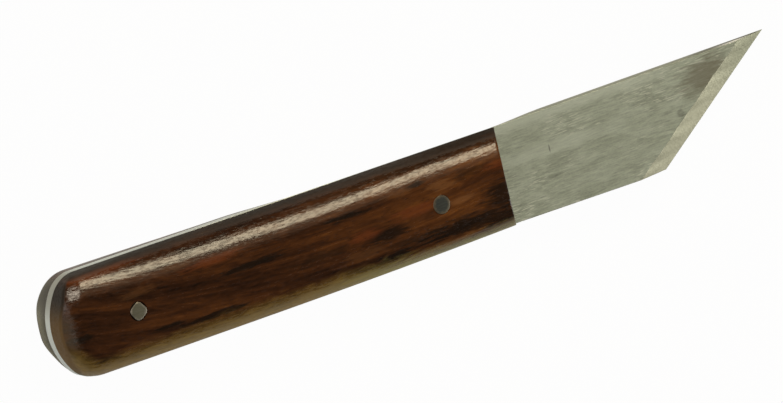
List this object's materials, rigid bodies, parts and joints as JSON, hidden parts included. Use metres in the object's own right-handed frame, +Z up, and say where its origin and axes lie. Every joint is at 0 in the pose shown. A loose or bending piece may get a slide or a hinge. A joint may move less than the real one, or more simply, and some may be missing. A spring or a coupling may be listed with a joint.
{
  "type": "marking knife",
  "caption": "Fixed-blade marking knife: flat skew steel blade, bevelled on one side, with a full tang between rounded dark hardwood scales held by flush steel pins.",
  "frame": {"origin": "centre of the bounding box in plan, at the flat outer face of the lower scale that the knife lies on", "axes": "+X from the butt to the point of the blade, +Y towards the spine, +Z up towards the bevelled side"},
  "size_m": [0.178, 0.0226, 0.014],
  "materials": {
    "blade_steel": "satin, lightly drawn lengthwise, brighter on the ground bevel",
    "scale_wood": "gloss lacquer over dark streaked hardwood",
    "pin_steel": "filed flush, satin"
  },
  "bodies": {
    "root": {"blade": "blade_steel", "upper_scale": "scale_wood", "lower_scale": "scale_wood", "front_pin": "pin_steel", "rear_pin": "pin_steel"}
  },
  "joints": []
}
